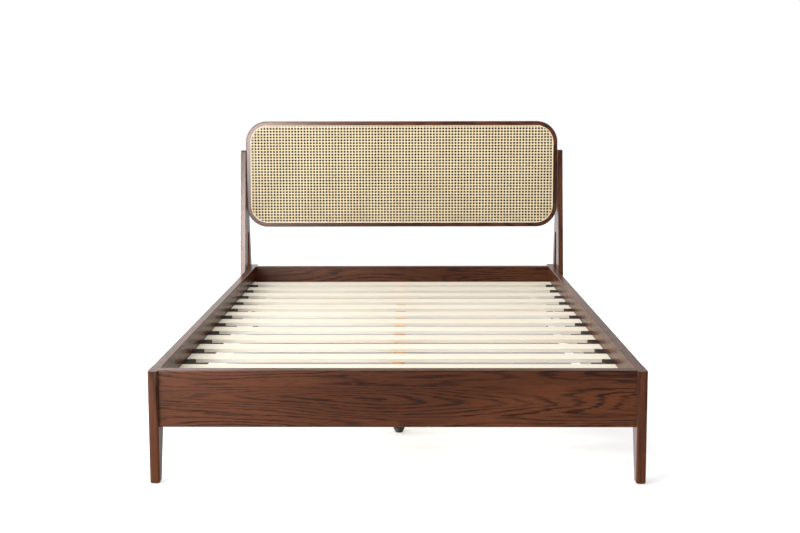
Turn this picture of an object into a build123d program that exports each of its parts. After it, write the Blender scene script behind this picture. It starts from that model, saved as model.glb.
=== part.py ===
from build123d import *
import os

# Wooden platform bed frame for a queen mattress. Millimetres, +Z up, head end at +Y.
# The origin is on the floor, under the middle of the whole bed.

# mattress well and rails
CLEAR_WIDTH = 1540.0
CLEAR_LENGTH = 2040.0
SIDE_RAIL_THICK = 32.0
END_RAIL_THICK = 34.0
RAIL_TOP = 373.0
RAIL_HEIGHT = 187.0
RAIL_EASE = 2.5
HEAD_OVERHANG = 48.0

# legs
LEG_PROUD = 12.0
LEG_DEPTH = 74.0
LEG_FOOT_DEPTH = 34.0
LEG_FRONT_ROUND = 7.0
LEG_TAPER_ROUND = 6.5
LEG_FOOT_ROUND = 6.0
CENTRE_LEG_EASE = 3.0
GLIDE_RADIUS = 9.0
GLIDE_THICK = 4.0
GLIDE_REVEAL = 1.5

# A-shaped head posts, outside the side rails; slopes are run over rise, seen from the side
POST_THICK = 24.0
POST_TOP = 988.0
POST_FRONT_AT_RAIL = 859.0
POST_FRONT_SLOPE = 0.1216
POST_REAR_AT_RAIL = 1070.5
POST_REAR_SLOPE = -0.1715
FRONT_ARM_DEPTH = 77.0
SLIT_TOP = 560.0
SLIT_REAR_AT_TOP = 1002.0
SLIT_REAR_SLOPE = -0.09
SLIT_ROUND = 16.0
POST_EASE = 3.0
POST_CORNER = 7.0

# headboard
BOARD_WIDTH = 1600.0
BOARD_BOTTOM = 592.0
BOARD_TOP = 1136.0
BOARD_FRONT = 936.5
BOARD_THICK = 28.0
BOARD_RADIUS = 108.0
BOARD_EASE = 4.0
FRAME_FACE = 21.0
FRAME_LIP = 31.0
LIP_DEPTH = 5.0
CORNER_REACH = 120.0
SPLINE_WIDTH = 3.5
SPLINE_FRONT = 2.5
SPLINE_FLOOR = 10.5
CANE_THICK = 1.6
BACK_PANEL_EDGE = 12.0
BACK_PANEL_THICK = 6.0

# slats and what holds them
SLAT_COUNT = 13
SLAT_PITCH = 150.8
SLAT_FIRST = -916.0
SLAT_WIDTH = 75.0
SLAT_THICK = 15.0
SLAT_TOP = 304.0
SLAT_LENGTH = 1538.0
SLAT_EASE = 2.0
TAPE_CENTRE = 641.0
TAPE_WIDTH = 32.0
TAPE_THICK = 1.2
STAPLE_SPAN = 10.0
STAPLE_WIRE = 1.0
STAPLE_CROWN = 0.6
STAPLE_BITE = 8.0
LEDGER_THICK = 33.0
LEDGER_HEIGHT = 60.0
LEDGER_GAP = 2.0
BLOCK_LENGTH = 70.0
BLOCK_HEIGHT = 14.0

# centre beam, its hangers, legs and levelling feet
BEAM_WIDTH = 44.0
BEAM_HEIGHT = 60.0
HANGER_SHEET = 2.5
HANGER_REACH = 36.0
HANGER_FLANGE = 18.0
CENTRE_LEG_SIDE = 38.0
CENTRE_LEG_BOTTOM = 32.0
CENTRE_LEG_YS = (-554.0, -17.0, 520.0)
FOOT_PAD_RADIUS = 21.0
FOOT_SOLE_RADIUS = 14.0
FOOT_RIM = 14.0
FOOT_PAD_TOP = 20.0
STEM_RADIUS = 3.95
STEM_TOP = 72.0
STEM_HOLE_RADIUS = 5.0
STEM_HOLE_TOP = 92.0

# fasteners
BOLT_RADIUS = 4.0
BOLT_HEAD_RADIUS = 7.5
BOLT_HEAD_THICK = 4.0
INSERT_RADIUS = 6.0
INSERT_LENGTH = 18.0
DOWEL_RADIUS = 4.0
DOWEL_LENGTH = 40.0
SCREW_RADIUS = 2.0
SCREW_LENGTH = 50.0
SCREW_HEAD_RADIUS = 4.0
SCREW_HEAD_THICK = 3.0
LEDGER_SCREWS = 7
LEDGER_SCREW_PITCH = 320.0
PAN_SCREW_RADIUS = 2.5
PAN_SCREW_LENGTH = 20.0
PAN_HEAD_RADIUS = 4.5
PAN_HEAD_THICK = 2.5
BRACKET_ARM = 60.0
BRACKET_HEIGHT = 34.0
BRACKET_SHEET = 3.0
BRACKET_BOTTOM = 190.0
HANGER_BOLT_REACH = 28.0

# places worked out from the dimensions above
RAIL_BOTTOM = RAIL_TOP - RAIL_HEIGHT
WELL_SIDE = CLEAR_WIDTH / 2
RAIL_OUTSIDE = WELL_SIDE + SIDE_RAIL_THICK
POST_OUTSIDE = RAIL_OUTSIDE + POST_THICK
TOTAL_LENGTH = LEG_PROUD + CLEAR_LENGTH + 2 * END_RAIL_THICK + HEAD_OVERHANG
FOOT_END = -TOTAL_LENGTH / 2
HEAD_END = TOTAL_LENGTH / 2
WELL_FOOT = FOOT_END + LEG_PROUD + END_RAIL_THICK
WELL_HEAD = WELL_FOOT + CLEAR_LENGTH
SLAT_BOTTOM = SLAT_TOP - SLAT_THICK
LEDGER_INSIDE = WELL_SIDE - LEDGER_THICK
BEAM_BOTTOM = SLAT_BOTTOM - BEAM_HEIGHT
BOARD_MID_Z = (BOARD_BOTTOM + BOARD_TOP) / 2
BOARD_HEIGHT = BOARD_TOP - BOARD_BOTTOM
BOARD_MID_Y = BOARD_FRONT + BOARD_THICK / 2
SIDES = {"left": -1, "right": 1}

POST_BOLT_ZS = (230.0, 330.0)
BOARD_BOLT_ZS = (770.0, 900.0)
RAIL_DOWEL_ZS = (235.0, 330.0)
POST_DOWEL_ZS = (620.0, 720.0)
LEDGER_SCREW_Z = SLAT_BOTTOM - LEDGER_HEIGHT / 2


def save(name, piece):
    """Labels a finished piece and writes its STEP file."""
    piece.part.label = name
    export_step(piece.part, f"parts/{name}.step")


def plane_facing_foot(y):
    """A vertical plane across the bed: its x is +X, its y is +Z, and it faces the foot end."""
    return Plane(origin=(0, y, 0), x_dir=(1, 0, 0), z_dir=(0, -1, 0))


def plane_facing_head(y):
    """A vertical plane across the bed: its x is -X, its y is +Z, and it faces the head end."""
    return Plane(origin=(0, y, 0), x_dir=(-1, 0, 0), z_dir=(0, 1, 0))


def side_start(side, inner, thick):
    """The lower X of a board that lies from inner outwards, on one side of the bed."""
    return inner if side > 0 else -inner - thick


def post_front(z):
    """Y of the post's front edge at height z."""
    return POST_FRONT_AT_RAIL + POST_FRONT_SLOPE * (z - RAIL_TOP)


def post_rear(z):
    """Y of the post's rear edge at height z: it leans back to the rail's end, then drops flush with it."""
    return min(HEAD_END, POST_REAR_AT_RAIL + POST_REAR_SLOPE * (z - RAIL_TOP))


def slit_rear(z):
    """Y of the rear arm's front edge at height z."""
    return SLIT_REAR_AT_TOP + SLIT_REAR_SLOPE * (z - SLIT_TOP)


def board(xs, ys, zs, along=None, ease=0.0):
    """A straight board between two X, two Y and two Z, with the edges along one axis eased."""
    with BuildPart() as piece:
        with BuildSketch(Plane.XY.offset(zs[0])):
            with Locations(((xs[0] + xs[1]) / 2, (ys[0] + ys[1]) / 2)):
                Rectangle(xs[1] - xs[0], ys[1] - ys[0])
        extrude(amount=zs[1] - zs[0])
        if ease > 0:
            fillet(piece.edges().filter_by(along), ease)
    return piece


def profile_board(side, inner, thick, points):
    """A board cut to a side outline of (Y, Z) points, lying from inner outwards."""
    with BuildPart() as piece:
        with BuildSketch(Plane.YZ.offset(side_start(side, inner, thick))):
            with BuildLine():
                Polyline(*points, close=True)
            make_face()
        extrude(amount=thick)
    return piece


def cut(piece, *tools):
    """The piece with each tool's solids taken out of it."""
    with BuildPart() as result:
        add(piece.part)
        for tool in tools:
            add(tool.part, mode=Mode.SUBTRACT)
    return result


def pins(plane, places, radius, length):
    """Plain round pins that start on a plane and run along its normal."""
    with BuildPart() as group:
        with BuildSketch(plane):
            with Locations(*places):
                Circle(radius)
        extrude(amount=length)
    return group


def headed_pins(plane, places, shank, head):
    """Pins whose head starts on the plane; shank and head are (radius, length) pairs."""
    with BuildPart() as group:
        with BuildSketch(plane):
            with Locations(*places):
                Circle(head[0])
        extrude(amount=head[1])
        with BuildSketch(plane.offset(head[1])):
            with Locations(*places):
                Circle(shank[0])
        extrude(amount=shank[1])
    return group


def joined(*pieces):
    """Several groups of loose solids as one group."""
    with BuildPart() as group:
        for piece in pieces:
            add(piece.part)
    return group


# ---------------------------------------------------------------- fasteners


def outside_plane(side, x):
    """A plane parallel to the bed's side at distance x from the middle, facing inwards."""
    return Plane(origin=(side * x, 0, 0), x_dir=(0, 1, 0), z_dir=(-side, 0, 0))


def outside_places(side, places):
    """(Y, Z) places written in the coordinates of outside_plane."""
    return [(y, -side * z) for y, z in places]


def post_bolt_places():
    """(Y, Z) of the bolts through one post into the side rail, the rear leg and the headboard."""
    front = [(post_front(z) + FRONT_ARM_DEPTH / 2, z) for z in POST_BOLT_ZS]
    rear = [((slit_rear(z) + post_rear(z)) / 2, z) for z in POST_BOLT_ZS]
    boards = [(BOARD_MID_Y, z) for z in BOARD_BOLT_ZS]
    return front + rear, boards


def make_post_bolts():
    """Flat-headed bolts, flush with the outside of the posts."""
    rail_places, board_places = post_bolt_places()
    shank = (BOLT_RADIUS, POST_THICK + INSERT_LENGTH - BOLT_HEAD_THICK)
    head = (BOLT_HEAD_RADIUS, BOLT_HEAD_THICK)
    groups = []
    for side in SIDES.values():
        places = outside_places(side, rail_places + board_places)
        groups.append(headed_pins(outside_plane(side, POST_OUTSIDE), places, shank, head))
    return joined(*groups)


def sleeve(plane, places):
    """Threaded inserts, drawn as plain sleeves that run along the plane's normal."""
    with BuildPart() as group:
        with BuildSketch(plane):
            with Locations(*places):
                Circle(INSERT_RADIUS)
            with Locations(*places):
                Circle(BOLT_RADIUS, mode=Mode.SUBTRACT)
        extrude(amount=INSERT_LENGTH)
    return group


def make_threaded_inserts():
    """One insert for each post bolt, and one in the bottom of each centre leg."""
    rail_places, board_places = post_bolt_places()
    groups = []
    for side in SIDES.values():
        groups.append(sleeve(outside_plane(side, RAIL_OUTSIDE), outside_places(side, rail_places)))
        board_plane = outside_plane(side, BOARD_WIDTH / 2)
        groups.append(sleeve(board_plane, outside_places(side, board_places)))
    leg_places = [(0, y) for y in CENTRE_LEG_YS]
    groups.append(sleeve(Plane.XY.offset(CENTRE_LEG_BOTTOM), leg_places))
    return joined(*groups)


def insert_sockets():
    """The full round sockets that the inserts are driven into."""
    rail_places, board_places = post_bolt_places()
    groups = []
    for side in SIDES.values():
        rail_plane = outside_plane(side, RAIL_OUTSIDE)
        board_plane = outside_plane(side, BOARD_WIDTH / 2)
        groups.append(pins(rail_plane, outside_places(side, rail_places), INSERT_RADIUS, INSERT_LENGTH))
        groups.append(pins(board_plane, outside_places(side, board_places), INSERT_RADIUS, INSERT_LENGTH))
    leg_places = [(0, y) for y in CENTRE_LEG_YS]
    groups.append(pins(Plane.XY.offset(CENTRE_LEG_BOTTOM), leg_places, INSERT_RADIUS, INSERT_LENGTH))
    return joined(*groups)


def rail_dowels():
    """Dowels between the side rails and the legs at both ends."""
    groups = []
    for y in (FOOT_END + LEG_DEPTH, HEAD_END - LEG_DEPTH):
        start = plane_facing_head(y - DOWEL_LENGTH / 2)
        middle = WELL_SIDE + SIDE_RAIL_THICK / 2
        places = [(side * middle, z) for side in SIDES.values() for z in RAIL_DOWEL_ZS]
        groups.append(pins(start, places, DOWEL_RADIUS, DOWEL_LENGTH))
    return joined(*groups)


def post_dowels():
    """Dowels square to the glue line between the two arms of each post."""
    groups = []
    for side in SIDES.values():
        for z in POST_DOWEL_ZS:
            middle = Vector(side * (RAIL_OUTSIDE + POST_THICK / 2), post_front(z) + FRONT_ARM_DEPTH, z)
            across = Vector(0, 1, -POST_FRONT_SLOPE).normalized()
            plane = Plane(origin=middle - across * DOWEL_LENGTH / 2, x_dir=(1, 0, 0), z_dir=across)
            groups.append(pins(plane, [(0, 0)], DOWEL_RADIUS, DOWEL_LENGTH))
    return joined(*groups)


def board_dowels():
    """Dowels between the headboard's straight pieces and its corner blocks."""
    inset = FRAME_FACE / 2
    reach = BOARD_WIDTH / 2 - CORNER_REACH
    level = BOARD_HEIGHT / 2 - CORNER_REACH
    groups = []
    for side in SIDES.values():
        across = Plane(origin=(side * reach - DOWEL_LENGTH / 2, BOARD_MID_Y, 0), x_dir=(0, 0, 1), z_dir=(1, 0, 0))
        zs = [(BOARD_BOTTOM + inset, 0), (BOARD_TOP - inset, 0)]
        groups.append(pins(across, zs, DOWEL_RADIUS, DOWEL_LENGTH))
    for way in (-1, 1):
        upright = Plane.XY.offset(BOARD_MID_Z + way * level - DOWEL_LENGTH / 2)
        places = [(side * (BOARD_WIDTH / 2 - inset), BOARD_MID_Y) for side in SIDES.values()]
        groups.append(pins(upright, places, DOWEL_RADIUS, DOWEL_LENGTH))
    return joined(*groups)


def make_ledger_screws():
    """Countersunk screws through the ledgers into the side rails."""
    groups = []
    for side in SIDES.values():
        plane = Plane(origin=(side * LEDGER_INSIDE, 0, 0), x_dir=(0, 1, 0), z_dir=(side, 0, 0))
        middle = (LEDGER_SCREWS - 1) / 2
        rows = [(LEDGER_SCREW_PITCH * (i - middle), side * LEDGER_SCREW_Z) for i in range(LEDGER_SCREWS)]
        with BuildPart() as group:
            with BuildSketch(plane):
                with Locations(*rows):
                    Circle(SCREW_RADIUS)
            extrude(amount=SCREW_LENGTH)
            with Locations(*[plane.location * Location((y, z, 0)) for y, z in rows]):
                Cone(
                    SCREW_HEAD_RADIUS,
                    SCREW_RADIUS,
                    SCREW_HEAD_THICK,
                    align=(Align.CENTER, Align.CENTER, Align.MIN),
                )
        groups.append(group)
    return joined(*groups)


def pan_screws(plane, places):
    """Pan-headed screws whose heads stand in front of the plane, and whose shanks run behind it."""
    with BuildPart() as group:
        with BuildSketch(plane):
            with Locations(*places):
                Circle(PAN_HEAD_RADIUS)
        extrude(amount=PAN_HEAD_THICK)
        with BuildSketch(plane):
            with Locations(*places):
                Circle(PAN_SCREW_RADIUS)
        extrude(amount=-PAN_SCREW_LENGTH)
    return group


def make_bracket_screws():
    """Screws of the corner brackets and of the centre beam's hangers."""
    z = BRACKET_BOTTOM + BRACKET_HEIGHT / 2
    near, far = BRACKET_ARM * 0.3, BRACKET_ARM * 0.78
    hanger_x = BEAM_WIDTH / 2 + HANGER_SHEET + HANGER_FLANGE / 2
    groups = []
    for side in SIDES.values():
        plane = outside_plane(side, WELL_SIDE - BRACKET_SHEET)
        ys = [WELL_FOOT + near, WELL_FOOT + far, WELL_HEAD - near, WELL_HEAD - far]
        groups.append(pan_screws(plane, outside_places(side, [(y, z) for y in ys])))
    for plane, sheet in (
        (plane_facing_head(WELL_FOOT), BRACKET_SHEET),
        (plane_facing_foot(WELL_HEAD), BRACKET_SHEET),
    ):
        corner_xs = [side * (WELL_SIDE - step) for side in SIDES.values() for step in (near, far)]
        groups.append(pan_screws(plane.offset(sheet), [(x, z) for x in corner_xs]))
        hanger_z = BEAM_BOTTOM + BEAM_HEIGHT / 2
        groups.append(pan_screws(plane.offset(HANGER_SHEET), [(-hanger_x, hanger_z), (hanger_x, hanger_z)]))
    return joined(*groups)


def make_hanger_bolts():
    """Double-ended studs that hold each centre leg under the beam."""
    places = [(0, y) for y in CENTRE_LEG_YS]
    start = Plane.XY.offset(BEAM_BOTTOM - HANGER_BOLT_REACH)
    return pins(start, places, BOLT_RADIUS, 2 * HANGER_BOLT_REACH)


def make_staples():
    """Staples that hold the tapes to the slats: a crown under the tape and two legs in the slat."""
    crown_z = SLAT_BOTTOM - TAPE_THICK - STAPLE_CROWN
    leg_offset = (STAPLE_SPAN - STAPLE_WIRE) / 2
    centres = [(side * TAPE_CENTRE, y) for side in SIDES.values() for y in slat_ys()]
    legs = [(x + way * leg_offset, y) for x, y in centres for way in (-1, 1)]
    with BuildPart() as group:
        with BuildSketch(Plane.XY.offset(crown_z)):
            with Locations(*centres):
                Rectangle(STAPLE_SPAN, STAPLE_WIRE)
        extrude(amount=STAPLE_CROWN)
        with BuildSketch(Plane.XY.offset(crown_z)):
            with Locations(*legs):
                Rectangle(STAPLE_WIRE, STAPLE_WIRE)
        extrude(amount=STAPLE_CROWN + TAPE_THICK + STAPLE_BITE)
    return group


# ---------------------------------------------------------------- rails and legs


def make_side_rail(side):
    """A side rail between its two legs."""
    inner = side_start(side, WELL_SIDE, SIDE_RAIL_THICK)
    xs = (inner, inner + SIDE_RAIL_THICK)
    ys = (FOOT_END + LEG_DEPTH, HEAD_END - LEG_DEPTH)
    return board(xs, ys, (RAIL_BOTTOM, RAIL_TOP), Axis.Y, RAIL_EASE)


def make_end_rail(y):
    """The foot rail or the head rail, between the two side assemblies."""
    return board(
        (-WELL_SIDE, WELL_SIDE), (y, y + END_RAIL_THICK), (RAIL_BOTTOM, RAIL_TOP), Axis.X, RAIL_EASE
    )


def make_leg(side, way):
    """A tapered leg with a rounded foot: way is -1 at the foot end and 1 at the head end."""
    end = way * HEAD_END
    outline = [
        (end, GLIDE_REVEAL),
        (end, RAIL_TOP),
        (end - way * LEG_DEPTH, RAIL_TOP),
        (end - way * LEG_DEPTH, RAIL_BOTTOM),
        (end - way * LEG_FOOT_DEPTH, GLIDE_REVEAL),
    ]
    blank = profile_board(side, WELL_SIDE, SIDE_RAIL_THICK, outline)
    glide_y = end - way * LEG_FOOT_DEPTH / 2
    middle = side * (WELL_SIDE + SIDE_RAIL_THICK / 2)
    with BuildPart() as leg:
        add(blank.part)
        edges = leg.edges()
        straight = edges.filter_by(Axis.Z).filter_by(lambda edge: abs(edge.center().Y - end) < 1)
        fillet(straight, LEG_FRONT_ROUND)
        slanted = leg.edges().filter_by(
            lambda edge: edge.center().Z < RAIL_BOTTOM - 1
            and edge.length > RAIL_BOTTOM - GLIDE_REVEAL
            and abs(edge.center().Y - end) > LEG_FOOT_DEPTH
        )
        fillet(slanted, LEG_TAPER_ROUND)
        sole = leg.faces().sort_by(Axis.Z)[0]
        fillet(sole.edges(), LEG_FOOT_ROUND)
        with BuildSketch(Plane.XY.offset(GLIDE_REVEAL)):
            with Locations((middle, glide_y)):
                Circle(GLIDE_RADIUS)
        extrude(amount=GLIDE_THICK - GLIDE_REVEAL, mode=Mode.SUBTRACT)
    return leg


def make_floor_glides():
    """Round glides let into the bottoms of the four legs."""
    x = WELL_SIDE + SIDE_RAIL_THICK / 2
    y = HEAD_END - LEG_FOOT_DEPTH / 2
    places = [(side * x, way * y) for side in SIDES.values() for way in (-1, 1)]
    return pins(Plane.XY, places, GLIDE_RADIUS, GLIDE_THICK)


def make_corner_brackets():
    """Folded steel angles inside the four corners, below the ledgers."""
    with BuildPart() as brackets:
        with BuildSketch(Plane.XY.offset(BRACKET_BOTTOM)):
            for side in SIDES.values():
                for end, way in ((WELL_FOOT, 1), (WELL_HEAD, -1)):
                    corner = (side * WELL_SIDE, end)
                    with BuildLine():
                        Polyline(
                            corner,
                            (corner[0] - side * BRACKET_ARM, end),
                            (corner[0] - side * BRACKET_ARM, end + way * BRACKET_SHEET),
                            (corner[0] - side * BRACKET_SHEET, end + way * BRACKET_SHEET),
                            (corner[0] - side * BRACKET_SHEET, end + way * BRACKET_ARM),
                            (corner[0], end + way * BRACKET_ARM),
                            close=True,
                        )
                    make_face()
        extrude(amount=BRACKET_HEIGHT)
    return brackets


# ---------------------------------------------------------------- head posts


def make_front_arm(side):
    """The straight front arm of a post, from the rail's bottom edge to the post's top."""
    meet_z = RAIL_TOP + (POST_REAR_AT_RAIL - POST_FRONT_AT_RAIL - FRONT_ARM_DEPTH) / (
        POST_FRONT_SLOPE - POST_REAR_SLOPE
    )
    outline = [
        (post_front(RAIL_BOTTOM), RAIL_BOTTOM),
        (post_front(POST_TOP), POST_TOP),
        (post_rear(POST_TOP), POST_TOP),
        (post_rear(meet_z), meet_z),
        (post_front(RAIL_BOTTOM) + FRONT_ARM_DEPTH, RAIL_BOTTOM),
    ]
    blank = profile_board(side, RAIL_OUTSIDE, POST_THICK, outline)
    with BuildPart() as arm:
        add(blank.part)
        across = arm.edges().filter_by(Axis.X)
        fillet(across.group_by(Axis.Z)[-1], POST_CORNER)
        front = arm.faces().filter_by(Plane.YZ).sort_by(Axis.X)
        outer = front[-1] if side > 0 else front[0]
        front_edges = outer.edges().filter_by(lambda edge: edge.center().Y < post_front(edge.center().Z) + 9)
        fillet(front_edges.filter_by(lambda edge: edge.length > SLIT_TOP), POST_EASE)
    return arm


def make_rear_arm(side):
    """The rear arm of a post: a brace that meets the front arm above the slit."""
    meet_z = RAIL_TOP + (POST_REAR_AT_RAIL - POST_FRONT_AT_RAIL - FRONT_ARM_DEPTH) / (
        POST_FRONT_SLOPE - POST_REAR_SLOPE
    )
    knee_z = RAIL_TOP + (HEAD_END - POST_REAR_AT_RAIL) / POST_REAR_SLOPE
    outline = [
        (post_rear(meet_z), meet_z),
        (HEAD_END, knee_z),
        (HEAD_END, RAIL_BOTTOM),
        (slit_rear(RAIL_BOTTOM), RAIL_BOTTOM),
        (slit_rear(SLIT_TOP), SLIT_TOP),
        (post_front(SLIT_TOP) + FRONT_ARM_DEPTH, SLIT_TOP),
    ]
    blank = profile_board(side, RAIL_OUTSIDE, POST_THICK, outline)
    with BuildPart() as arm:
        add(blank.part)
        crotch = arm.edges().filter_by(Axis.X).filter_by(
            lambda edge: abs(edge.center().Y - slit_rear(SLIT_TOP)) < 1 and abs(edge.center().Z - SLIT_TOP) < 1
        )
        fillet(crotch, SLIT_ROUND)
    return arm


# ---------------------------------------------------------------- headboard


def board_outline(inset):
    """The headboard's rounded outline, moved inwards by inset, in the current sketch."""
    with Locations((0, BOARD_MID_Z)):
        RectangleRounded(BOARD_WIDTH - 2 * inset, BOARD_HEIGHT - 2 * inset, BOARD_RADIUS - inset)


def make_frame_ring():
    """The whole headboard frame before it is divided: a lipped ring, open at the back for its panel."""
    with BuildPart() as ring:
        with BuildSketch(plane_facing_foot(BOARD_FRONT)):
            board_outline(0)
        extrude(amount=-BOARD_THICK)
        front = ring.faces().sort_by(Axis.Y)[0]
        back = ring.faces().sort_by(Axis.Y)[-1]
        fillet(front.edges() + back.edges(), BOARD_EASE)
        with BuildSketch(plane_facing_foot(BOARD_FRONT)):
            board_outline(FRAME_LIP)
        extrude(amount=-BOARD_THICK, mode=Mode.SUBTRACT)
        with BuildSketch(plane_facing_foot(BOARD_FRONT)):
            board_outline(FRAME_FACE)
        extrude(amount=-LIP_DEPTH, mode=Mode.SUBTRACT)
        with BuildSketch(plane_facing_foot(BOARD_FRONT)):
            board_outline(FRAME_FACE)
            with Locations((0, BOARD_MID_Z)):
                inset = FRAME_FACE + SPLINE_WIDTH
                RectangleRounded(
                    BOARD_WIDTH - 2 * inset,
                    BOARD_HEIGHT - 2 * inset,
                    BOARD_RADIUS - inset,
                    mode=Mode.SUBTRACT,
                )
        extrude(amount=-SPLINE_FLOOR, mode=Mode.SUBTRACT)
        with BuildSketch(plane_facing_foot(BOARD_FRONT + BOARD_THICK - BACK_PANEL_THICK)):
            board_outline(BACK_PANEL_EDGE)
        extrude(amount=-BACK_PANEL_THICK, mode=Mode.SUBTRACT)
    return ring


def frame_piece(ring, xs, zs):
    """The stretch of the frame ring between two X and two Z."""
    ys = (BOARD_FRONT - 1, BOARD_FRONT + BOARD_THICK + 1)
    region = board(xs, ys, zs)
    with BuildPart() as piece:
        add(ring.part)
        add(region.part, mode=Mode.INTERSECT)
    return piece


def frame_pieces(ring):
    """Every piece of the headboard frame by name: rails, stiles and corner blocks."""
    half = BOARD_WIDTH / 2
    reach = half - CORNER_REACH
    low, high = BOARD_BOTTOM + CORNER_REACH, BOARD_TOP - CORNER_REACH
    regions = {
        "headboard_top_rail": ((-reach, reach), (high, BOARD_TOP)),
        "headboard_bottom_rail": ((-reach, reach), (BOARD_BOTTOM, low)),
    }
    for name, side in SIDES.items():
        xs = tuple(sorted((side * reach, side * half)))
        regions[f"headboard_{name}_stile"] = (xs, (low, high))
        regions[f"headboard_top_{name}_corner"] = (xs, (high, BOARD_TOP))
        regions[f"headboard_bottom_{name}_corner"] = (xs, (BOARD_BOTTOM, low))
    return {name: frame_piece(ring, xs, zs) for name, (xs, zs) in regions.items()}


def make_back_panel():
    """The thin panel that closes the back of the headboard."""
    with BuildPart() as panel:
        with BuildSketch(plane_facing_foot(BOARD_FRONT + BOARD_THICK - BACK_PANEL_THICK)):
            board_outline(BACK_PANEL_EDGE)
        extrude(amount=-BACK_PANEL_THICK)
    return panel


def make_cane_panel():
    """The sheet of woven cane, flat on the frame's lip."""
    with BuildPart() as cane:
        with BuildSketch(plane_facing_foot(BOARD_FRONT + LIP_DEPTH - CANE_THICK)):
            board_outline(FRAME_FACE + SPLINE_WIDTH)
        extrude(amount=-CANE_THICK)
    return cane


def make_cane_spline():
    """The reed spline that wedges the cane's edge into its groove."""
    inset = FRAME_FACE + SPLINE_WIDTH
    with BuildPart() as spline:
        with BuildSketch(plane_facing_foot(BOARD_FRONT + SPLINE_FRONT)):
            board_outline(FRAME_FACE)
            with Locations((0, BOARD_MID_Z)):
                RectangleRounded(
                    BOARD_WIDTH - 2 * inset,
                    BOARD_HEIGHT - 2 * inset,
                    BOARD_RADIUS - inset,
                    mode=Mode.SUBTRACT,
                )
        extrude(amount=-(SPLINE_FLOOR - SPLINE_FRONT))
    return spline


# ---------------------------------------------------------------- slats and their supports


def slat_ys():
    """Y of each slat's middle, from the foot end."""
    return [SLAT_FIRST + SLAT_PITCH * i for i in range(SLAT_COUNT)]


def make_slat(y):
    """One slat with its long edges eased."""
    half = SLAT_LENGTH / 2
    ys = (y - SLAT_WIDTH / 2, y + SLAT_WIDTH / 2)
    return board((-half, half), ys, (SLAT_BOTTOM, SLAT_TOP), Axis.X, SLAT_EASE)


def make_tape(side):
    """A webbing tape under all the slats."""
    middle = side * TAPE_CENTRE
    ys = (slat_ys()[0] - SLAT_WIDTH / 2 + SLAT_EASE, slat_ys()[-1] + SLAT_WIDTH / 2 - SLAT_EASE)
    xs = (middle - TAPE_WIDTH / 2, middle + TAPE_WIDTH / 2)
    return board(xs, ys, (SLAT_BOTTOM - TAPE_THICK, SLAT_BOTTOM))


def make_ledger(side):
    """The strip inside a side rail that carries the slats' ends."""
    start = side_start(side, LEDGER_INSIDE, LEDGER_THICK)
    ys = (WELL_FOOT + LEDGER_GAP, WELL_HEAD - LEDGER_GAP)
    return board((start, start + LEDGER_THICK), ys, (SLAT_BOTTOM - LEDGER_HEIGHT, SLAT_BOTTOM))


def make_spacer_blocks(side):
    """The blocks on a ledger that keep the slats apart."""
    start = side_start(side, LEDGER_INSIDE, LEDGER_THICK)
    gaps = [y + SLAT_PITCH / 2 for y in slat_ys()[:-1]]
    with BuildPart() as blocks:
        with BuildSketch(Plane.XY.offset(SLAT_BOTTOM)):
            with Locations(*[(start + LEDGER_THICK / 2, y) for y in gaps]):
                Rectangle(LEDGER_THICK, BLOCK_LENGTH)
        extrude(amount=BLOCK_HEIGHT)
    return blocks


def make_centre_beam():
    """The beam under the middle of the slats."""
    half = BEAM_WIDTH / 2
    ys = (WELL_FOOT + HANGER_SHEET, WELL_HEAD - HANGER_SHEET)
    return board((-half, half), ys, (BEAM_BOTTOM, SLAT_BOTTOM))


def make_beam_hanger(end, way):
    """A folded steel stirrup on an end rail: back plate, floor and two cheeks around the beam."""
    half = BEAM_WIDTH / 2
    outer = half + HANGER_SHEET
    floor_z = BEAM_BOTTOM - HANGER_SHEET
    top_z = SLAT_BOTTOM - HANGER_SHEET
    plane = plane_facing_head(end) if way > 0 else plane_facing_foot(end)
    middle_z = (floor_z + top_z) / 2
    with BuildPart() as hanger:
        with BuildSketch(plane):
            with Locations((0, middle_z)):
                Rectangle(2 * (outer + HANGER_FLANGE), top_z - floor_z)
        extrude(amount=HANGER_SHEET)
        with BuildSketch(plane.offset(HANGER_SHEET)):
            with Locations((0, middle_z)):
                Rectangle(2 * outer, top_z - floor_z)
            with Locations((0, (BEAM_BOTTOM + SLAT_BOTTOM) / 2)):
                Rectangle(BEAM_WIDTH, BEAM_HEIGHT, mode=Mode.SUBTRACT)
        extrude(amount=HANGER_REACH)
    return hanger


def make_centre_leg(y):
    """A square leg under the beam, bored up its middle for the levelling foot's stem."""
    half = CENTRE_LEG_SIDE / 2
    blank = board((-half, half), (y - half, y + half), (CENTRE_LEG_BOTTOM, BEAM_BOTTOM), Axis.Z, CENTRE_LEG_EASE)
    stem_room = pins(
        Plane.XY.offset(CENTRE_LEG_BOTTOM), [(0, y)], STEM_HOLE_RADIUS, STEM_HOLE_TOP - CENTRE_LEG_BOTTOM
    )
    return cut(blank, stem_room)


def make_levelling_foot(y):
    """A round foot with a conical pad and a threaded stem, drawn plain."""
    with BuildPart() as foot:
        with BuildSketch(Plane(origin=(0, y, 0), x_dir=(1, 0, 0), z_dir=(0, -1, 0))):
            with BuildLine():
                Polyline(
                    (0, 0),
                    (FOOT_SOLE_RADIUS, 0),
                    (FOOT_PAD_RADIUS, FOOT_RIM),
                    (FOOT_PAD_RADIUS, FOOT_PAD_TOP),
                    (STEM_RADIUS, FOOT_PAD_TOP),
                    (STEM_RADIUS, STEM_TOP),
                    (0, STEM_TOP),
                    close=True,
                )
            make_face()
        revolve(axis=Axis((0, y, 0), (0, 0, 1)))
    return foot


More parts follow.
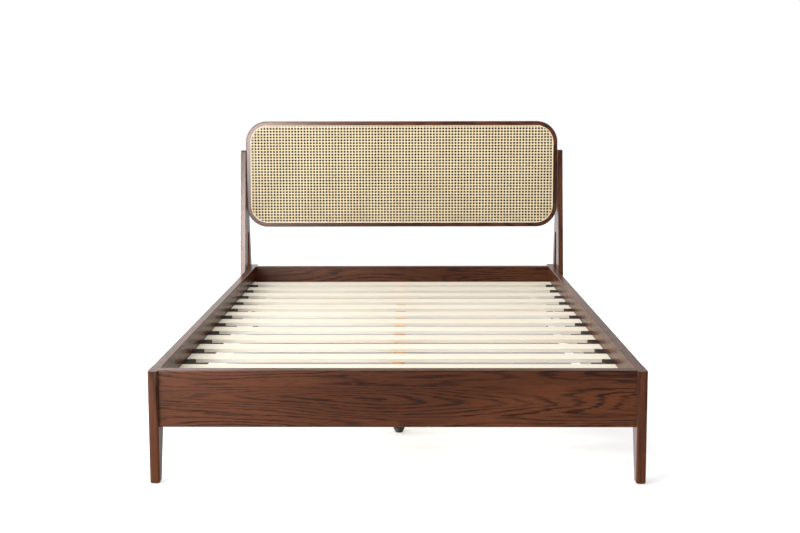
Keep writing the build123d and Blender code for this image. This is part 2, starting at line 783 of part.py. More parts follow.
def main():
    os.makedirs("parts", exist_ok=True)

    post_bolts = make_post_bolts()
    inserts = make_threaded_inserts()
    sockets = insert_sockets()
    rail_pegs, post_pegs, board_pegs = rail_dowels(), post_dowels(), board_dowels()
    ledger_screws = make_ledger_screws()
    bracket_screws = make_bracket_screws()
    hanger_bolts = make_hanger_bolts()
    staples = make_staples()
    save("post_bolts", post_bolts)
    save("threaded_inserts", inserts)
    save("dowels", joined(rail_pegs, post_pegs, board_pegs))
    save("ledger_screws", ledger_screws)
    save("bracket_screws", bracket_screws)
    save("hanger_bolts", hanger_bolts)
    save("tape_staples", staples)

    for name, side in SIDES.items():
        rail = cut(make_side_rail(side), sockets, rail_pegs, ledger_screws, bracket_screws)
        save(f"{name}_side_rail", rail)
        save(f"front_{name}_leg", cut(make_leg(side, -1), rail_pegs, bracket_screws))
        save(f"rear_{name}_leg", cut(make_leg(side, 1), rail_pegs, sockets, bracket_screws))
        save(f"{name}_post_front_arm", cut(make_front_arm(side), post_bolts, post_pegs))
        save(f"{name}_post_rear_arm", cut(make_rear_arm(side), post_bolts, post_pegs))
        save(f"{name}_ledger", cut(make_ledger(side), ledger_screws))
        save(f"{name}_spacer_blocks", make_spacer_blocks(side))
        save(f"{name}_slat_tape", cut(make_tape(side), staples))
    save("foot_rail", cut(make_end_rail(WELL_FOOT - END_RAIL_THICK), bracket_screws))
    save("head_rail", cut(make_end_rail(WELL_HEAD), bracket_screws))
    save("corner_brackets", cut(make_corner_brackets(), bracket_screws))
    save("floor_glides", make_floor_glides())

    for name, piece in frame_pieces(make_frame_ring()).items():
        save(name, cut(piece, sockets, board_pegs))
    save("headboard_back_panel", make_back_panel())
    save("cane_panel", make_cane_panel())
    save("cane_spline", make_cane_spline())

    for number, y in enumerate(slat_ys(), start=1):
        save(f"slat_{number:02d}", cut(make_slat(y), staples))
    save("centre_beam", cut(make_centre_beam(), hanger_bolts))
    save("foot_beam_hanger", cut(make_beam_hanger(WELL_FOOT, 1), bracket_screws))
    save("head_beam_hanger", cut(make_beam_hanger(WELL_HEAD, -1), bracket_screws))
    for number, y in enumerate(CENTRE_LEG_YS, start=1):
        save(f"centre_leg_{number}", cut(make_centre_leg(y), hanger_bolts, sockets))
        save(f"levelling_foot_{number}", make_levelling_foot(y))


main()
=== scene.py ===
import math

import bpy
from mathutils import Matrix, Vector


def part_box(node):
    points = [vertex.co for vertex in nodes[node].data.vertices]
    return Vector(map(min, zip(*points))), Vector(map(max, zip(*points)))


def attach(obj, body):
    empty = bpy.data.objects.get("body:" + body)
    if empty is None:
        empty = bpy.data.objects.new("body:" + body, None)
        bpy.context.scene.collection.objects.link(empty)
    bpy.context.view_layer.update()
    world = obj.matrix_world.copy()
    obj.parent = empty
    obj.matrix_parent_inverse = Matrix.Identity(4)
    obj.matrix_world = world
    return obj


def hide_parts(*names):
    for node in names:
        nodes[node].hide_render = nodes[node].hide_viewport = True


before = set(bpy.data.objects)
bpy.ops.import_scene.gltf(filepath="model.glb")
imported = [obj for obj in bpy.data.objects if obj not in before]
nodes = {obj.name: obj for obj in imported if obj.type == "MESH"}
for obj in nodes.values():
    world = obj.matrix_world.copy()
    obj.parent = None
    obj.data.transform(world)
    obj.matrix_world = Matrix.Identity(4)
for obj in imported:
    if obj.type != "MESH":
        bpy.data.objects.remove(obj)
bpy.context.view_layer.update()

MM = 0.001
SIDES = ("left", "right")

# The camera, in metres and radians, in the frame of the model.
CAMERA_PLACE = Vector((0.0402, -4.2347, 1.2254))
CAMERA_YAW = -0.0094
CAMERA_PITCH_DOWN = 0.0941
CAMERA_ROLL = -0.0023
LENS_MM = 45.28
SENSOR_MM = 36.0
SHIFT_Y = -0.0847

# The cane webbing.
CANE_PITCH_X = 15.83 * MM
CANE_PITCH_Z = 14.83 * MM
CANE_CORNER = 83.5 * MM
CANE_PAIR_OFFSET = 0.074
STRAIGHT_HALF_WIDTH = 1.15 * MM
DIAGONAL_HALF_WIDTH = 0.6 * MM
STRAND_HALF_THICKNESS = 0.2 * MM
STRAIGHT_WAVE = 0.42 * MM
DIAGONAL_WAVE = 0.52 * MM
SAMPLES_PER_CELL = 4
END_HALVINGS = 12

# How often each part of the wood's pattern repeats in a metre, along the grain and across it.
FIGURE = (0.7, 8.5)
RIPPLE = (5.0, 150.0)
RAGGED = (22.0, 420.0)
CLOUD = (3.5, 22.0)
TONE = (1.3, 6.0)
FIBRE = (16.0, 520.0)
VESSEL = (38.0, 1250.0)

# Each wood's first seed. A seed shifts the pattern, so no two parts are alike.
STAIN_SEED = 1
SLAT_SEED = 31
BEAM_SEED = 51
LEDGER_SEED = 61
BLOCK_SEED = 71
BACK_SEED = 81
DOWEL_SEED = 91

# How many growth rings the figure runs through, on a board and on an upright.
BOARD_RINGS = 26.0
UPRIGHT_RINGS = 10.0

# The tape's woven threads.
THREAD_WAVE = 1.3 * MM

# Softened edges of the sawn wood.
ARRIS = 0.9 * MM
BLOCK_ARRIS = 0.6 * MM
WORN_RADIUS = 2.2 * MM
WELD_DISTANCE = 0.01 * MM
SHARP_ANGLE = math.radians(35)

# The floor, and the soft shade painted on it beneath the bed: each pair is where the painted shade begins and
# is full.
FLOOR_HALF = 12.0
FLOOR_GLOW = 0.42
PAINTED_SHADE_GLOW = 0.08
PAINTED_SHADE_SIDE = (1.15, 0.75)
PAINTED_SHADE_FRONT = (-0.45, 0.15)
PAINTED_SHADE_BACK = (2.2, 1.2)

# The world's light: the axis of the direction, its two ends, and the strength at each end.
SIDE_STRENGTH = ("X", -0.45, 0.45, 1.75, 0.31)
DEPTH_STRENGTH = ("Y", -1.0, 0.25, 0.55, 1.0)


# ---------------------------------------------------------------- node helpers


class Shade:
    """One material's node tree, with short calls that make a node and give its output."""

    def __init__(self, name):
        self.material = bpy.data.materials.new(name)
        self.material.use_nodes = True
        self.tree = self.material.node_tree
        self.tree.nodes.clear()

    def node(self, kind, inputs=None, **settings):
        made = self.tree.nodes.new(kind)
        for key, value in settings.items():
            setattr(made, key, value)
        for key, value in (inputs or {}).items():
            self.feed(made.inputs[key], value)
        return made

    def feed(self, socket, value):
        if isinstance(value, bpy.types.NodeSocket):
            self.tree.links.new(value, socket)
        else:
            socket.default_value = value

    def place(self, axis="X", offset=(0.0, 0.0, 0.0)):
        """Object coordinates in metres, turned so that the first runs along the named axis."""
        whole = self.node("ShaderNodeTexCoord").outputs["Object"]
        split = self.node("ShaderNodeSeparateXYZ", {"Vector": whole})
        order = {"X": "XYZ", "Y": "YZX", "Z": "ZXY"}[axis]
        parts = {into: split.outputs[taken] for into, taken in zip("XYZ", order)}
        turned = self.node("ShaderNodeCombineXYZ", parts).outputs[0]
        return self.node("ShaderNodeVectorMath", {0: turned, 1: offset}, operation="ADD").outputs[0]

    def stretched(self, vector, along, across):
        """Coordinates that repeat along times a metre on the first axis, and across on the others."""
        scale = (along, across, across)
        return self.node("ShaderNodeVectorMath", {0: vector, 1: scale}, operation="MULTIPLY").outputs[0]

    def noise(self, vector, detail, roughness=0.5, distortion=0.0, scale=1.0):
        inputs = {"Vector": vector, "Scale": scale, "Detail": detail,
                  "Roughness": roughness, "Distortion": distortion}
        return self.node("ShaderNodeTexNoise", inputs).outputs["Fac"]

    def maths(self, operation, *values, clamp=False):
        made = self.node("ShaderNodeMath", operation=operation, use_clamp=clamp)
        for socket, value in zip(made.inputs, values):
            self.feed(socket, value)
        return made.outputs[0]

    def ranged(self, value, low, high, to_low=0.0, to_high=1.0):
        """The value eased from one range to another, and held at its ends."""
        inputs = {"Value": value, "From Min": low, "From Max": high, "To Min": to_low, "To Max": to_high}
        return self.node("ShaderNodeMapRange", inputs, interpolation_type="SMOOTHSTEP").outputs["Result"]

    def mix(self, share, low, high):
        """A colour between two others. share is how much of the second."""
        made = self.node("ShaderNodeMix", data_type="RGBA", blend_type="MIX")
        colours = [s for s in made.inputs if s.type == "RGBA"]
        self.feed(made.inputs["Factor"], share)
        for socket, value in zip(colours, (low, high)):
            self.feed(socket, value if isinstance(value, bpy.types.NodeSocket) else (*value, 1.0))
        return next(s for s in made.outputs if s.type == "RGBA")

    def bump(self, height, distance, strength):
        inputs = {"Height": height, "Distance": distance, "Strength": strength}
        return self.node("ShaderNodeBump", inputs).outputs["Normal"]

    def arris(self, radius):
        """Near 1 on an outer edge of the shape and 0 on its flat faces."""
        rounded = self.node("ShaderNodeBevel", {"Radius": radius}, samples=4).outputs[0]
        flat = self.node("ShaderNodeNewGeometry").outputs["Normal"]
        turn = self.node("ShaderNodeVectorMath", {0: rounded, 1: flat}, operation="DOT_PRODUCT")
        return self.ranged(turn.outputs["Value"], 0.99, 0.86)

    def surface(self, **inputs):
        """The Principled shader and the output. Names have _ for a space."""
        shader = self.node("ShaderNodeBsdfPrincipled")
        for key, value in inputs.items():
            socket = shader.inputs[key.replace("_", " ")]
            if isinstance(value, tuple) and len(value) == 3:
                value = (*value, 1.0)
            self.feed(socket, value)
        self.node("ShaderNodeOutputMaterial", {"Surface": shader.outputs[0]})
        return self.material


# ---------------------------------------------------------------- materials


def growth_rings(shade, grain, rings):
    """How far a place is from one growth ring to the next, and the dark broken line that ends each."""
    figure = shade.noise(shade.stretched(grain, *FIGURE), detail=2.0, roughness=0.35, distortion=0.15)
    ripple = shade.noise(shade.stretched(grain, *RIPPLE), detail=3.0, roughness=0.6)
    ragged = shade.noise(shade.stretched(grain, *RAGGED), detail=2.0, roughness=0.6)
    cloud = shade.noise(shade.stretched(grain, *CLOUD), detail=2.0)
    phase = shade.maths("MULTIPLY", figure, rings)
    phase = shade.maths("ADD", phase, shade.maths("MULTIPLY", ripple, 1.1))
    ring = shade.maths("FRACT", phase)
    line = shade.maths("MULTIPLY", shade.ranged(ring, 0.45, 0.8), shade.ranged(ring, 1.0, 0.9))
    broken = shade.ranged(shade.maths("ADD", ragged, shade.maths("MULTIPLY", ripple, 0.5)), 0.58, 0.88)
    broken = shade.maths("MULTIPLY", broken, shade.ranged(cloud, 0.38, 0.62, 0.4, 1.5))
    line = shade.maths("MULTIPLY", line, shade.maths("ADD", broken, 0.3), clamp=True)
    return ring, line


def open_pores(shade, grain, ring, amount):
    """Short dark pores, thickest just after each growth ring."""
    vessel = shade.noise(shade.stretched(grain, *VESSEL), detail=1.0)
    early = shade.ranged(ring, 0.5, 0.05, 0.25, 1.0)
    pore = shade.maths("MULTIPLY", shade.ranged(vessel, 0.6, 0.68), early)
    return shade.maths("MULTIPLY", pore, amount)


def wood(name, axis, seed, pale, deep, streak, rings, contrast, pores, roughness, gloss, worn,
         arris=0.35, facing=(1.0, 1.0, 1.0)):
    """Sawn wood with its grain along axis.

    pale and deep are the ground colours, streak is the dark lines' colour and worn the edges'. facing dims
    the shine of a face that is seen square on.
    """
    shade = Shade(name)
    grain = shade.place(axis, (1.7 * seed, 0.61 * seed, 0.37 * seed))
    ring, line = growth_rings(shade, grain, rings)
    pore = open_pores(shade, grain, ring, pores)
    tone = shade.noise(shade.stretched(grain, *TONE), detail=2.0)
    fibre = shade.noise(shade.stretched(grain, *FIBRE), detail=4.0, roughness=0.65)

    colour = shade.mix(shade.ranged(tone, 0.34, 0.66), pale, deep)
    colour = shade.mix(shade.ranged(fibre, 0.36, 0.72, 0.0, 0.55), colour, streak)
    colour = shade.mix(shade.maths("MULTIPLY", line, contrast), colour, streak)
    colour = shade.mix(pore, colour, tuple(0.55 * part for part in streak))
    colour = shade.mix(shade.maths("MULTIPLY", shade.arris(WORN_RADIUS), arris), colour, worn)

    rough = shade.maths("ADD", roughness, shade.maths("MULTIPLY", fibre, 0.08))
    rough = shade.maths("ADD", rough, shade.maths("MULTIPLY", pore, 0.12), clamp=True)
    height = shade.maths("ADD", shade.maths("MULTIPLY", pore, -1.0), shade.maths("MULTIPLY", fibre, 0.25))
    height = shade.maths("ADD", height, shade.maths("MULTIPLY", line, -0.3))
    return shade.surface(Base_Color=colour, Roughness=rough, Specular_IOR_Level=gloss, Specular_Tint=facing,
                         Normal=shade.bump(height, 0.12 * MM, 0.35))


def stained_wood(name, axis, seed, rings):
    """Open-grained wood with a reddish walnut stain."""
    return wood(name, axis, seed, pale=(0.124, 0.039, 0.0150), deep=(0.082, 0.0250, 0.0095),
                streak=(0.022, 0.009, 0.0065), rings=rings, contrast=0.95, pores=0.7,
                roughness=0.24, gloss=0.3, worn=(0.20, 0.085, 0.042), facing=(0.42, 0.38, 0.36))


def pine(name, axis, seed):
    """Pale bare pine with a faint grain."""
    return wood(name, axis, seed, pale=(0.68, 0.64, 0.555), deep=(0.64, 0.595, 0.50),
                streak=(0.66, 0.56, 0.42), rings=9.0, contrast=0.3, pores=0.1,
                roughness=0.55, gloss=0.3, worn=(0.76, 0.64, 0.49), arris=0.3)


def orange_pine(name, axis, seed):
    """Bare pine of a deeper, orange colour."""
    return wood(name, axis, seed, pale=(0.56, 0.30, 0.12), deep=(0.46, 0.22, 0.085),
                streak=(0.26, 0.11, 0.045), rings=9.0, contrast=0.7, pores=0.2,
                roughness=0.5, gloss=0.3, worn=(0.62, 0.36, 0.17))


def dark_wood(name, axis, seed):
    """Softwood of a nearly black brown colour."""
    return wood(name, axis, seed, pale=(0.026, 0.018, 0.015), deep=(0.018, 0.012, 0.0105),
                streak=(0.010, 0.0075, 0.007), rings=10.0, contrast=0.7, pores=0.5,
                roughness=0.5, gloss=0.15, worn=(0.085, 0.055, 0.04))


def plywood(name, axis, seed):
    """The brown stained sheet that closes the headboard's back, darkened further with painted shade so the
    cane's holes look dark.
    """
    # These near-black colours are partly the stain and partly painted shade behind the cane.
    return wood(name, axis, seed, pale=(0.024, 0.009, 0.005), deep=(0.016, 0.0065, 0.004),
                streak=(0.008, 0.0045, 0.0035), rings=6.0, contrast=0.6, pores=0.5,
                roughness=0.5, gloss=0.12, worn=(0.09, 0.042, 0.022))


def beech(name, axis, seed):
    """Plain beech of the dowels."""
    return wood(name, axis, seed, pale=(0.55, 0.36, 0.20), deep=(0.48, 0.30, 0.16),
                streak=(0.34, 0.19, 0.09), rings=9.0, contrast=0.3, pores=0.4,
                roughness=0.5, gloss=0.3, worn=(0.6, 0.42, 0.25))


def cane(name, tint):
    """Glossy split cane: straw, with tan patches, fine ribs and dark specks at the nodes."""
    shade = Shade(name)
    place = shade.place()
    patch = shade.noise(place, detail=3.0, roughness=0.6, scale=70.0)
    drift = shade.noise(place, detail=2.0, scale=9.0)
    ribs = shade.noise(place, detail=3.0, roughness=0.7, scale=1400.0)
    speck = shade.noise(place, detail=1.0, scale=160.0)
    pale = tuple(tint * part for part in (0.95, 0.82, 0.56))
    tan = tuple(tint * part for part in (0.78, 0.57, 0.31))
    colour = shade.mix(shade.ranged(patch, 0.5, 0.75, 0.0, 0.6), pale, tan)
    colour = shade.mix(shade.ranged(drift, 0.45, 0.7, 0.0, 0.22), colour, (0.80, 0.62, 0.38))
    colour = shade.mix(shade.ranged(ribs, 0.5, 0.8, 0.0, 0.35), colour, (0.48, 0.32, 0.15))
    colour = shade.mix(shade.ranged(speck, 0.70, 0.76, 0.0, 0.7), colour, (0.25, 0.13, 0.055))
    rough = shade.ranged(ribs, 0.3, 0.8, 0.28, 0.5)
    return shade.surface(Base_Color=colour, Roughness=rough, Specular_IOR_Level=0.04,
                         Normal=shade.bump(ribs, 0.08 * MM, 0.6))


def reed(name):
    """The pale spline that holds the cane down, with fine ribs along it."""
    shade = Shade(name)
    place = shade.place()
    fibre = shade.noise(place, detail=4.0, roughness=0.7, scale=900.0)
    drift = shade.noise(place, detail=2.0, scale=14.0)
    colour = shade.mix(shade.ranged(drift, 0.36, 0.7), (0.86, 0.78, 0.60), (0.76, 0.63, 0.43))
    colour = shade.mix(shade.ranged(fibre, 0.48, 0.8, 0.0, 0.5), colour, (0.55, 0.40, 0.22))
    rough = shade.ranged(fibre, 0.3, 0.8, 0.42, 0.62)
    return shade.surface(Base_Color=colour, Roughness=rough, Specular_IOR_Level=0.35,
                         Normal=shade.bump(fibre, 0.12 * MM, 0.6))


def webbing(name):
    """White tape of a fine plain weave, with painted shade in the weave's hollows."""
    shade = Shade(name)
    split = shade.node("ShaderNodeSeparateXYZ", {"Vector": shade.place()})
    waves = [shade.maths("SINE", shade.maths("MULTIPLY", split.outputs[part], 2 * math.pi / THREAD_WAVE))
             for part in "XY"]
    weave = shade.maths("MULTIPLY", waves[0], waves[1])
    soil = shade.noise(shade.place(), detail=3.0, scale=45.0)
    # The tape is painted darker where the weave dips: painted shade.
    colour = shade.mix(shade.ranged(weave, -1.0, 1.0), (0.66, 0.66, 0.63), (0.84, 0.84, 0.82))
    colour = shade.mix(shade.ranged(soil, 0.48, 0.75, 0.0, 0.3), colour, (0.62, 0.60, 0.54))
    rough = shade.ranged(weave, -1.0, 1.0, 0.9, 0.75)
    return shade.surface(Base_Color=colour, Roughness=rough, Specular_IOR_Level=0.2, Sheen_Weight=0.15,
                         Normal=shade.bump(weave, 0.15 * MM, 0.8))


def metal(name, bright, dull, low, high):
    """Bright drawn or plated steel with fine scratches."""
    shade = Shade(name)
    place = shade.place()
    scratch = shade.noise(shade.stretched(place, 200.0, 3000.0), detail=3.0, roughness=0.7)
    stain = shade.noise(place, detail=3.0, scale=120.0)
    colour = shade.mix(shade.ranged(stain, 0.42, 0.7), bright, dull)
    rough = shade.ranged(scratch, 0.3, 0.75, low, high)
    return shade.surface(Base_Color=colour, Roughness=rough, Metallic=1.0,
                         Normal=shade.bump(scratch, 0.03 * MM, 0.5))


def powder_coat(name):
    """Black powder coat with an orange-peel surface, rubbed pale along its edges."""
    shade = Shade(name)
    place = shade.place()
    peel = shade.noise(place, detail=2.0, scale=900.0)
    dust = shade.noise(place, detail=3.0, scale=60.0)
    colour = shade.mix(shade.ranged(dust, 0.4, 0.7), (0.012, 0.012, 0.013), (0.028, 0.027, 0.026))
    colour = shade.mix(shade.maths("MULTIPLY", shade.arris(0.8 * MM), 0.4), colour, (0.10, 0.10, 0.10))
    rough = shade.ranged(peel, 0.3, 0.7, 0.38, 0.55)
    return shade.surface(Base_Color=colour, Roughness=rough, Normal=shade.bump(peel, 0.08 * MM, 0.6))


def moulded_plastic(name):
    """Black moulded plastic with a fine spark-eroded grain."""
    shade = Shade(name)
    place = shade.place()
    grit = shade.noise(place, detail=2.0, scale=2200.0)
    scuff = shade.noise(place, detail=4.0, roughness=0.65, scale=90.0)
    colour = shade.mix(shade.ranged(scuff, 0.5, 0.75, 0.0, 0.7), (0.010, 0.010, 0.011), (0.040, 0.039, 0.037))
    colour = shade.mix(shade.maths("MULTIPLY", shade.arris(0.8 * MM), 0.35), colour, (0.07, 0.07, 0.07))
    rough = shade.ranged(grit, 0.3, 0.7, 0.42, 0.6)
    return shade.surface(Base_Color=colour, Roughness=rough, Normal=shade.bump(grit, 0.05 * MM, 0.5))


# ---------------------------------------------------------------- the CAD nodes' looks


def paint(node, material):
    for index in range(len(nodes[node].material_slots)):
        nodes[node].material_slots[index].link = "OBJECT"
        nodes[node].material_slots[index].material = material


def soften(node, width=ARRIS):
    """Rounds a sawn part's edges a little, as sanding does. The modifiers leave the node's own mesh alone."""
    part = nodes[node]
    weld = part.modifiers.new("Weld", "WELD")
    weld.merge_threshold = WELD_DISTANCE
    bevel = part.modifiers.new("Arris", "BEVEL")
    bevel.width = width
    bevel.segments = 2
    bevel.limit_method = "ANGLE"
    bevel.angle_limit = SHARP_ANGLE
    bevel.use_clamp_overlap = True
    bevel.loop_slide = False
    part.modifiers.new("Normals", "WEIGHTED_NORMAL").keep_sharp = True


def stained_nodes():
    """Each stained part with the axis that its grain follows."""
    along = {"foot_rail": "X", "head_rail": "X", "headboard_top_rail": "X", "headboard_bottom_rail": "X"}
    for side in SIDES:
        along[f"{side}_side_rail"] = "Y"
        along[f"headboard_{side}_stile"] = "Z"
        for level in ("top", "bottom"):
            along[f"headboard_{level}_{side}_corner"] = "X"
        legs = (f"front_{side}_leg", f"rear_{side}_leg")
        arms = (f"{side}_post_front_arm", f"{side}_post_rear_arm")
        for upright in (*legs, *arms):
            along[upright] = "Z"
    for index in (1, 2, 3):
        along[f"centre_leg_{index}"] = "Z"
    return along


def paint_wood():
    for seed, (node, axis) in enumerate(stained_nodes().items(), STAIN_SEED):
        rings = UPRIGHT_RINGS if axis == "Z" else BOARD_RINGS
        paint(node, stained_wood(f"stained_{node}", axis, seed, rings))
        soften(node)
    slats = sorted(name for name in nodes if name.startswith("slat_"))
    for seed, node in enumerate(slats, SLAT_SEED):
        paint(node, pine(f"pine_{node}", "X", seed))
    paint("centre_beam", orange_pine("orange_pine", "Y", BEAM_SEED))
    soften("centre_beam")
    for index, side in enumerate(SIDES):
        paint(f"{side}_ledger", dark_wood(f"dark_{side}_ledger", "Y", LEDGER_SEED + index))
        paint(f"{side}_spacer_blocks", dark_wood(f"dark_{side}_blocks", "Y", BLOCK_SEED + index))
        soften(f"{side}_ledger")
        soften(f"{side}_spacer_blocks", BLOCK_ARRIS)
    paint("headboard_back_panel", plywood("stained_plywood_with_painted_shade", "X", BACK_SEED))
    paint("dowels", beech("dowel_beech", "X", DOWEL_SEED))


def paint_fittings():
    tape = webbing("tape_webbing")
    for side in SIDES:
        paint(f"{side}_slat_tape", tape)
    paint("tape_staples", metal("staple_wire", (0.62, 0.61, 0.58), (0.48, 0.46, 0.43), 0.25, 0.45))
    plated = metal("plated_steel", (0.52, 0.50, 0.45), (0.38, 0.36, 0.33), 0.28, 0.5)
    for node in ("bracket_screws", "post_bolts", "threaded_inserts", "ledger_screws", "hanger_bolts"):
        paint(node, plated)
    coat = powder_coat("black_powder_coat")
    for node in ("corner_brackets", "foot_beam_hanger", "head_beam_hanger"):
        paint(node, coat)
    plastic = moulded_plastic("black_plastic")
    for node in ["floor_glides"] + [f"levelling_foot_{index}" for index in (1, 2, 3)]:
        paint(node, plastic)
    paint("cane_spline", reed("reed_spline"))


# ---------------------------------------------------------------- the cane webbing


class CaneField:
    """The rounded rectangle that the cane fills, and the planes its strands wave about."""

    def __init__(self):
        low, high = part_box("cane_panel")
        self.left, self.right = low.x, high.x
        self.bottom, self.top = low.z, high.z
        self.middle_y = (low.y + high.y) / 2
        self.centre = Vector(((low.x + high.x) / 2, (low.z + high.z) / 2))
        self.half = Vector(((high.x - low.x) / 2, (high.z - low.z) / 2))

    def inside(self, x, z):
        across = max(abs(x - self.centre.x) - self.half.x + CANE_CORNER, 0.0)
        up = max(abs(z - self.centre.y) - self.half.y + CANE_CORNER, 0.0)
        return math.hypot(across, up) <= CANE_CORNER

    def edge(self, line, kept, lost):
        """Where a line leaves the outline, between a place inside it and one outside."""
        for _ in range(END_HALVINGS):
            half_way = (kept + lost) / 2
            if self.inside(*line(half_way)):
                kept = half_way
            else:
                lost = half_way
        return kept

    def run(self, line, low, high, step):
        """Places along a line, a step apart, that lie in the outline, with its two ends added."""
        count = int(math.ceil((high - low) / step)) + 1
        spots = [low + (index + 0.5) * step for index in range(count)]
        kept = [spot for spot in spots if self.inside(*line(spot))]
        if len(kept) < 2:
            return []
        first = self.edge(line, kept[0], kept[0] - step)
        last = self.edge(line, kept[-1], kept[-1] + step)
        return [first, *kept, last]


def add_strand(mesh_parts, centres, across):
    """A closed strand along centres, with a flat back and a crowned front. across is half its width."""
    vertices, faces = mesh_parts
    start = len(vertices)
    for centre in centres:
        vertices.append(centre - across)
        vertices.append(centre + Vector((0.0, -STRAND_HALF_THICKNESS, 0.0)))
        vertices.append(centre + across)
    for ring in range(len(centres) - 1):
        base = start + 3 * ring
        for corner in range(3):
            following = (corner + 1) % 3
            faces.append((base + corner, base + following, base + 3 + following, base + 3 + corner))
    last = start + 3 * (len(centres) - 1)
    faces.append((start + 2, start + 1, start))
    faces.append((last, last + 1, last + 2))


def straight_strands(field, vertical):
    """The pairs of strands that run up and down, or from side to side, passing over and under each other."""
    parts = ([], [])
    pitch, cross_pitch = (CANE_PITCH_X, CANE_PITCH_Z) if vertical else (CANE_PITCH_Z, CANE_PITCH_X)
    start = field.left if vertical else field.bottom
    cross_start = field.bottom if vertical else field.left
    length = 2 * (field.half.y if vertical else field.half.x)
    width = 2 * (field.half.x if vertical else field.half.y)
    across = STRAIGHT_HALF_WIDTH * (Vector((1, 0, 0)) if vertical else Vector((0, 0, 1)))
    for index in range(int(width / pitch) + 2):
        for hand in (-1, 1):
            place = start + (index + hand * CANE_PAIR_OFFSET) * pitch

            def line(spot, place=place):
                return (place, cross_start + spot) if vertical else (cross_start + spot, place)

            turn = -hand if vertical else hand
            centres = []
            for spot in field.run(line, 0.0, length, cross_pitch / SAMPLES_PER_CELL):
                x, z = line(spot)
                wave = turn * STRAIGHT_WAVE * math.sin(2 * math.pi * spot / cross_pitch)
                centres.append(Vector((x, field.middle_y - wave, z)))
            if centres:
                add_strand(parts, centres, across)
    return parts


def diagonal_strands(field, slope):
    """Single strands that cut the corners of the squares. The two slopes pass over and under in turn."""
    parts = ([], [])
    columns = 2 * field.half.x / CANE_PITCH_X
    rows = 2 * field.half.y / CANE_PITCH_Z
    across = DIAGONAL_HALF_WIDTH * Vector((-slope * CANE_PITCH_Z, 0, CANE_PITCH_X)).normalized()
    low, high = (-rows, columns) if slope > 0 else (0, columns + rows)
    for index in range(int(low) - 1, int(high) + 1):
        shift = index + 0.5

        def line(spot, shift=shift):
            return field.left + spot * CANE_PITCH_X, field.bottom + slope * (spot - shift) * CANE_PITCH_Z

        centres = []
        for spot in field.run(line, 0.0, columns, 1 / SAMPLES_PER_CELL):
            x, z = line(spot)
            wave = slope * DIAGONAL_WAVE * math.cos(2 * math.pi * spot)
            centres.append(Vector((x, field.middle_y - wave, z)))
        if centres:
            add_strand(parts, centres, across)
    return parts


def cane_piece(name, parts, material):
    mesh = bpy.data.meshes.new(name)
    vertices, faces = parts
    mesh.from_pydata(vertices, [], faces)
    mesh.validate()
    mesh.materials.append(material)
    mesh.polygons.foreach_set("use_smooth", [len(face.vertices) == 4 for face in mesh.polygons])
    piece = bpy.data.objects.new(name, mesh)
    bpy.context.scene.collection.objects.link(piece)
    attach(piece, "bed_frame")
    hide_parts("cane_panel")


def weave_cane():
    field = CaneField()
    straight = cane("straw_cane", 1.0)
    slanted = cane("tan_cane", 0.92)
    cane_piece("cane_uprights", straight_strands(field, True), straight)
    cane_piece("cane_crosswise", straight_strands(field, False), straight)
    cane_piece("cane_rising_diagonals", diagonal_strands(field, 1), slanted)
    cane_piece("cane_falling_diagonals", diagonal_strands(field, -1), slanted)


# ---------------------------------------------------------------- floor, light and camera


def floor_look():
    """Pale paper that glows a little, as a lit sweep does, with a soft shadow painted beneath the bed."""
    shade = Shade("pale_floor")
    split = shade.node("ShaderNodeSeparateXYZ", {"Vector": shade.place()})
    # Beneath the bed the floor is painted greyer and glows less: a painted shadow.
    painted_shade = shade.ranged(shade.maths("ABSOLUTE", split.outputs["X"]), *PAINTED_SHADE_SIDE)
    for begins, full in (PAINTED_SHADE_FRONT, PAINTED_SHADE_BACK):
        painted_shade = shade.maths("MULTIPLY", painted_shade, shade.ranged(split.outputs["Y"], begins, full))
    colour = shade.mix(painted_shade, (0.80, 0.80, 0.80), (0.46, 0.47, 0.50))
    glow = shade.ranged(painted_shade, 0.0, 1.0, FLOOR_GLOW, PAINTED_SHADE_GLOW)
    return shade.surface(Base_Color=colour, Roughness=0.9, Specular_IOR_Level=0.0,
                         Emission_Color=(1.0, 1.0, 1.0), Emission_Strength=glow)


def lay_floor():
    """A wide flat floor that the wood's shine doesn't show."""
    mesh = bpy.data.meshes.new("floor")
    signs = ((-1, -1), (1, -1), (1, 1), (-1, 1))
    mesh.from_pydata([(x * FLOOR_HALF, y * FLOOR_HALF, 0) for x, y in signs], [], [(0, 1, 2, 3)])
    mesh.materials.append(floor_look())
    floor = bpy.data.objects.new("floor", mesh)
    bpy.context.scene.collection.objects.link(floor)
    floor.visible_glossy = False


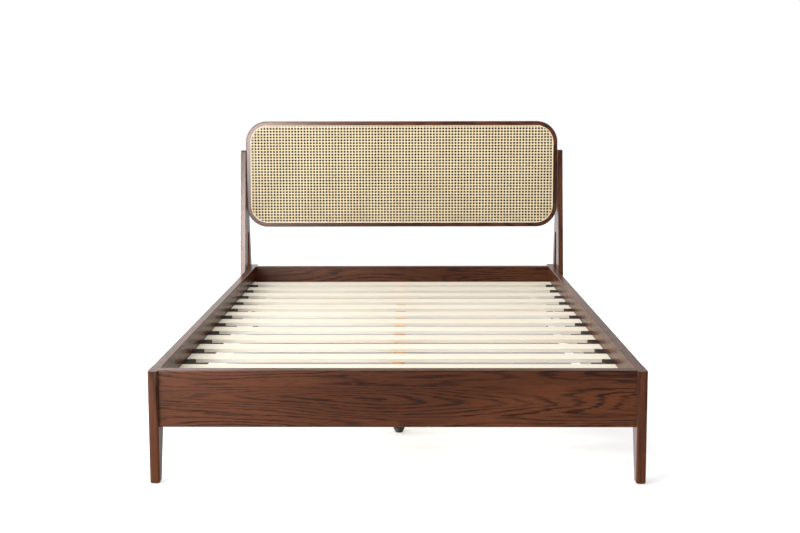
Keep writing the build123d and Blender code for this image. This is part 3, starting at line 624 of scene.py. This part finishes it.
def light_world():
    """White to the camera. Its light is strongest from the left and weaker from the right and the front."""
    world = bpy.data.worlds.new("studio")
    bpy.context.scene.world = world
    world.use_nodes = True
    tree = world.node_tree
    tree.nodes.clear()
    direction = tree.nodes.new("ShaderNodeTexCoord").outputs["Generated"]
    split = tree.nodes.new("ShaderNodeSeparateXYZ")
    tree.links.new(direction, split.inputs[0])
    strengths = []
    for part, low, high, at_low, at_high in (SIDE_STRENGTH, DEPTH_STRENGTH):
        ranged = tree.nodes.new("ShaderNodeMapRange")
        tree.links.new(split.outputs[part], ranged.inputs["Value"])
        for key, value in zip(("From Min", "From Max", "To Min", "To Max"), (low, high, at_low, at_high)):
            ranged.inputs[key].default_value = value
        strengths.append(ranged.outputs["Result"])
    product = tree.nodes.new("ShaderNodeMath")
    product.operation = "MULTIPLY"
    for socket, strength in zip(product.inputs, strengths):
        tree.links.new(strength, socket)
    lighting = tree.nodes.new("ShaderNodeBackground")
    tree.links.new(product.outputs[0], lighting.inputs["Strength"])
    seen = tree.nodes.new("ShaderNodeBackground")
    for background in (lighting, seen):
        background.inputs["Color"].default_value = (1.0, 1.0, 1.0, 1.0)
    mix = tree.nodes.new("ShaderNodeMixShader")
    tree.links.new(tree.nodes.new("ShaderNodeLightPath").outputs["Is Camera Ray"], mix.inputs[0])
    tree.links.new(lighting.outputs[0], mix.inputs[1])
    tree.links.new(seen.outputs[0], mix.inputs[2])
    tree.links.new(mix.outputs[0], tree.nodes.new("ShaderNodeOutputWorld").inputs["Surface"])


def softbox(name, place, aim, size, watts, glossy=True, diffuse=True):
    lamp = bpy.data.lights.new(name, "AREA")
    lamp.shape = "RECTANGLE"
    lamp.size, lamp.size_y = size
    lamp.energy = watts
    box = bpy.data.objects.new(name, lamp)
    box.location = place
    box.rotation_euler = (Vector(aim) - Vector(place)).to_track_quat("-Z", "Y").to_euler()
    box.visible_camera = False
    box.visible_glossy = glossy
    box.visible_diffuse = diffuse
    bpy.context.scene.collection.objects.link(box)


def light_studio():
    light_world()
    softbox("left_key", (-2.3, -2.9, 1.5), (-0.2, 0.0, 0.4), (1.2, 1.2), 72, glossy=False)
    softbox("left_sheen", (-1.68, -3.0, 1.0), (-0.8, 0.9, 0.85), (1.2, 1.1), 430, diffuse=False)
    softbox("head_fill", (-0.3, -1.0, 2.3), (0.0, 0.94, 0.85), (1.6, 0.6), 18, glossy=False)
    softbox("top_fill", (-0.5, 0.5, 3.6), (0.0, 0.4, 0.3), (3.0, 3.0), 50, glossy=False)


def set_camera():
    yaw, pitch = CAMERA_YAW, CAMERA_PITCH_DOWN
    forward = Vector((math.sin(yaw) * math.cos(pitch), math.cos(yaw) * math.cos(pitch), -math.sin(pitch)))
    level_right = Vector((math.cos(yaw), -math.sin(yaw), 0.0))
    level_up = level_right.cross(forward)
    right = math.cos(CAMERA_ROLL) * level_right + math.sin(CAMERA_ROLL) * level_up
    up = right.cross(forward)
    data = bpy.data.cameras.new("camera")
    data.lens = LENS_MM
    data.sensor_width = SENSOR_MM
    data.sensor_fit = "HORIZONTAL"
    data.shift_y = SHIFT_Y
    camera = bpy.data.objects.new("camera", data)
    turn = Matrix((right, up, -forward)).transposed().to_4x4()
    camera.matrix_world = Matrix.Translation(CAMERA_PLACE) @ turn
    bpy.context.scene.collection.objects.link(camera)
    bpy.context.scene.camera = camera


def show_plain_whites():
    bpy.context.scene.view_settings.view_transform = "Standard"


set_camera()
lay_floor()
light_studio()
show_plain_whites()
paint_wood()
paint_fittings()
weave_cane()
